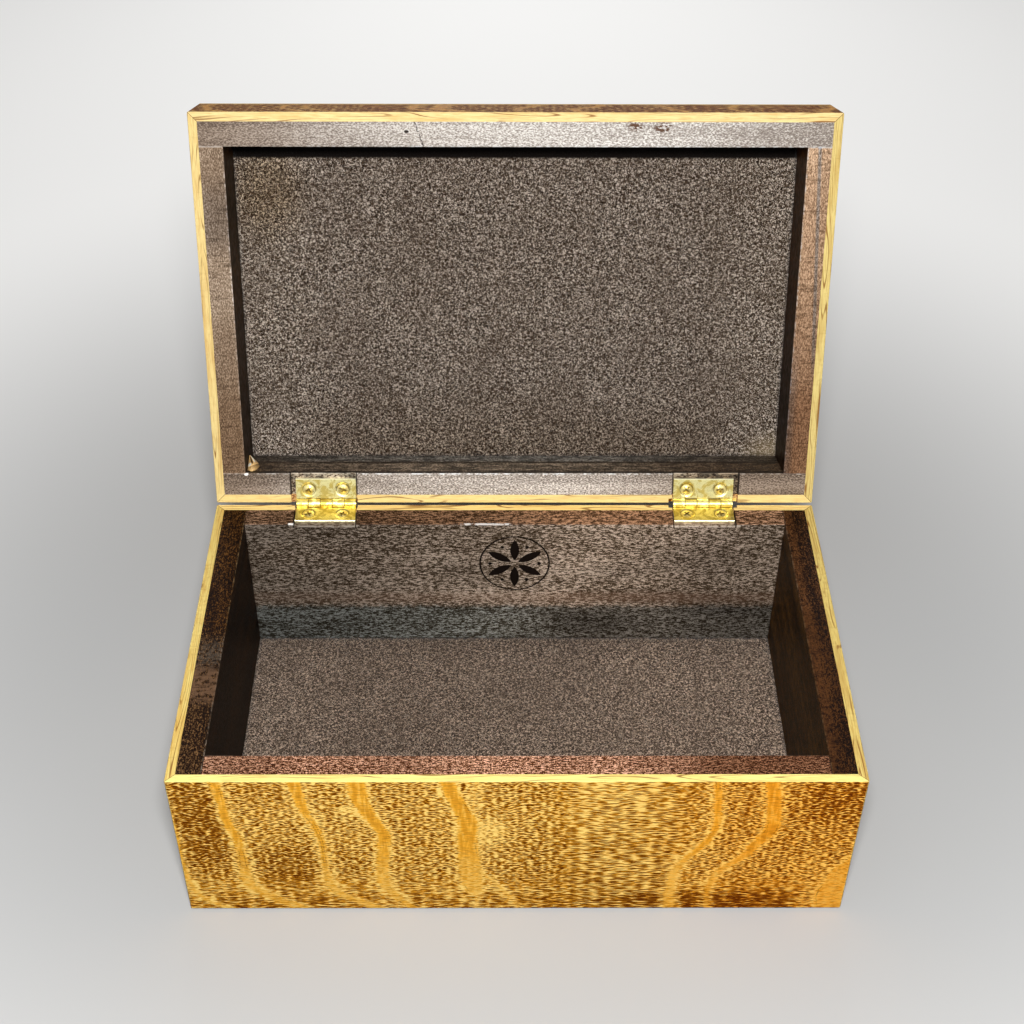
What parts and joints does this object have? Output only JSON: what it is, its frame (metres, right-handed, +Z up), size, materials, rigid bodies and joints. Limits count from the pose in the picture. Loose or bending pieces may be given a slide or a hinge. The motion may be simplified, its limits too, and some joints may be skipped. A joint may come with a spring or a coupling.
{
  "type": "hinged keepsake box",
  "caption": "Lined wooden keepsake box with mitred oak sides, felt inside and a lid on brass butt hinges, shown open.",
  "frame": {"origin": "centre of the underside, where the foot felt meets the table", "axes": "+X to the right along the box's width, +Y to the rear where the hinges are, +Z up"},
  "size_m": [0.25, 0.2355, 0.2212],
  "materials": {
    "oak": "oiled quarter-sawn oak, satin",
    "dark_wood": "dark brown hardwood, satin",
    "board": "plain board",
    "lining_felt": "heathered brown-grey wool felt",
    "foot_felt": "dark fuzzy baize",
    "hinge_brass": "polished brass",
    "screw_brass": "polished brass",
    "pin_brass": "drawn brass"
  },
  "bodies": {
    "base": {"base_front_panel": "oak", "base_rear_panel": "oak", "base_left_panel": "oak", "base_right_panel": "oak", "base_front_lining": "dark_wood", "base_rear_lining": "dark_wood", "base_left_lining": "dark_wood", "base_right_lining": "dark_wood", "base_bottom_board": "board", "base_floor_felt": "lining_felt", "base_foot_felt": "foot_felt", "left_hinge_base_leaf": "hinge_brass", "left_hinge_pin": "pin_brass", "left_base_leaf_screws": "screw_brass", "right_hinge_base_leaf": "hinge_brass", "right_hinge_pin": "pin_brass", "right_base_leaf_screws": "screw_brass"},
    "lid": {"lid_front_panel": "oak", "lid_rear_panel": "oak", "lid_left_panel": "oak", "lid_right_panel": "oak", "lid_top_panel": "oak", "lid_front_lining": "dark_wood", "lid_rear_lining": "dark_wood", "lid_left_lining": "dark_wood", "lid_right_lining": "dark_wood", "lid_felt": "lining_felt", "left_hinge_lid_leaf": "hinge_brass", "left_lid_leaf_screws": "screw_brass", "right_hinge_lid_leaf": "hinge_brass", "right_lid_leaf_screws": "screw_brass"}
  },
  "joints": [
    {"name": "lid_hinge", "type": "hinge", "parent": "base", "child": "lid", "pos_m": [0, 0.0784, 0.07395], "axis": [1, 0, 0], "range_deg": [0, 109.6]}
  ]
}
